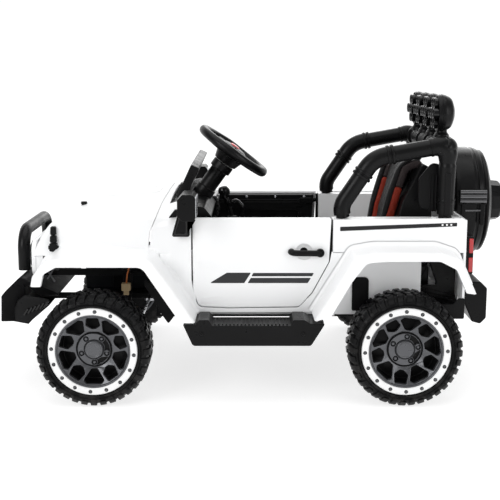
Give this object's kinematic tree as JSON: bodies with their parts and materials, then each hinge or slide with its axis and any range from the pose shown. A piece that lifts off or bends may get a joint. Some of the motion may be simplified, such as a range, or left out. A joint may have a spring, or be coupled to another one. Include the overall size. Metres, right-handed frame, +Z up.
{
  "type": "ride-on toy off-road car",
  "caption": "Child's battery ride-on toy shaped like an open lifted off-road car, with steering, opening doors, roll bars, roof lamps, bull bar and a covered spare wheel.",
  "frame": {"origin": "on the ground, under the middle of the car's box", "axes": "+X towards the rear, so the car faces -X; +Y towards its right side; +Z up"},
  "size_m": [1.1029, 0.68, 0.626],
  "materials": {
    "white_shell": "smooth white moulded plastic, slightly glossy",
    "black_trim": "fine-grained black plastic",
    "rim_grey": "dark grey satin plastic",
    "wheel_black": "moulded black plastic tread",
    "steel": "zinc-plated steel rod",
    "chassis_black": "black painted steel",
    "seat_fabric_red": "red and charcoal synthetic leather, padded",
    "seat_fabric_black": "charcoal synthetic leather, padded",
    "lamp_lens": "clear ribbed lens over a silver reflector",
    "red_lens": "red translucent lens",
    "battery_case": "dark grey plastic case",
    "wire": "insulated wire"
  },
  "bodies": {
    "body_shell": {"chassis": "chassis_black", "front_axle": "chassis_black", "rear_axle": "steel", "drive_motors": "battery_case", "battery": "battery_case", "wiring": "wire", "cabin_tub": "white_shell", "cowl": "white_shell", "hood": "white_shell", "front_fascia": "white_shell", "grille": "black_trim", "headlights": "lamp_lens", "front_fenders": "white_shell", "rear_fenders": "white_shell", "side_steps": "black_trim", "front_bumper": "black_trim", "bull_bar": "black_trim", "rear_bumper": "black_trim", "dashboard": "black_trim", "steering_column": "black_trim", "windshield_frame": "black_trim", "pedal": "black_trim", "shift_lever": "black_trim", "mirrors": "black_trim", "seat_shell": "black_trim", "seat_cushion": "seat_fabric_black", "seat_back": "seat_fabric_red", "roll_hoops": "black_trim", "lamp_bar": "black_trim", "roof_lamps": "black_trim", "spare_cover": "black_trim", "tail_lights": "red_lens"},
    "steering_wheel_body": {"steering_wheel": "black_trim"},
    "steering_rack_body": {"tie_rod": "steel"},
    "knuckle_left_body": {"knuckle_left": "chassis_black"},
    "knuckle_right_body": {"knuckle_right": "chassis_black"},
    "door_left_body": {"door_left": "white_shell", "door_liner_left": "black_trim", "door_handle_left": "black_trim"},
    "wheel_front_left_body": {"tyre_front_left": "wheel_black", "rim_front_left": "rim_grey", "ring_front_left": "white_shell"},
    "wheel_rear_left_body": {"tyre_rear_left": "wheel_black", "rim_rear_left": "rim_grey", "ring_rear_left": "white_shell"},
    "door_right_body": {"door_right": "white_shell", "door_liner_right": "black_trim", "door_handle_right": "black_trim"},
    "wheel_front_right_body": {"tyre_front_right": "wheel_black", "rim_front_right": "rim_grey", "ring_front_right": "white_shell"},
    "wheel_rear_right_body": {"tyre_rear_right": "wheel_black", "rim_rear_right": "rim_grey", "ring_rear_right": "white_shell"}
  },
  "joints": [
    {"name": "steering_turn", "type": "hinge", "parent": "body_shell", "child": "steering_wheel_body", "pos_m": [-0.062, 0, 0.496], "axis": [0.5878, 0, 0.809], "range_deg": [-45, 45]},
    {"name": "knuckle_left_turn", "type": "hinge", "parent": "body_shell", "child": "knuckle_left_body", "pos_m": [-0.342, -0.225, 0.116], "axis": [0, 0, 1], "range_deg": [-18, 18]},
    {"name": "knuckle_right_turn", "type": "hinge", "parent": "body_shell", "child": "knuckle_right_body", "pos_m": [-0.342, 0.225, 0.116], "axis": [0, 0, 1], "range_deg": [-18, 18]},
    {"name": "tie_rod_slide", "type": "slide", "parent": "body_shell", "child": "steering_rack_body", "axis": [0, 1, 0], "range_m": [-0.019, 0.019]},
    {"name": "wheel_front_left_spin", "type": "hinge", "parent": "knuckle_left_body", "child": "wheel_front_left_body", "pos_m": [-0.342, -0.295, 0.116], "axis": [0, 1, 0], "continuous": true},
    {"name": "wheel_rear_left_spin", "type": "hinge", "parent": "body_shell", "child": "wheel_rear_left_body", "pos_m": [0.292, -0.295, 0.116], "axis": [0, 1, 0], "continuous": true},
    {"name": "door_left_swing", "type": "hinge", "parent": "body_shell", "child": "door_left_body", "pos_m": [-0.1395, -0.2465, 0.28], "axis": [0, 0, -1], "range_deg": [0, 60]},
    {"name": "wheel_front_right_spin", "type": "hinge", "parent": "knuckle_right_body", "child": "wheel_front_right_body", "pos_m": [-0.342, 0.295, 0.116], "axis": [0, 1, 0], "continuous": true},
    {"name": "wheel_rear_right_spin", "type": "hinge", "parent": "body_shell", "child": "wheel_rear_right_body", "pos_m": [0.292, 0.295, 0.116], "axis": [0, 1, 0], "continuous": true},
    {"name": "door_right_swing", "type": "hinge", "parent": "body_shell", "child": "door_right_body", "pos_m": [-0.1395, 0.2465, 0.28], "axis": [0, 0, 1], "range_deg": [0, 60]}
  ],
  "couplings": [
    {"joint": "knuckle_left_turn", "follows": "steering_turn", "ratio": 0.4},
    {"joint": "knuckle_right_turn", "follows": "steering_turn", "ratio": 0.4},
    {"joint": "tie_rod_slide", "follows": "steering_turn", "m_per_rad": 0.0236}
  ]
}
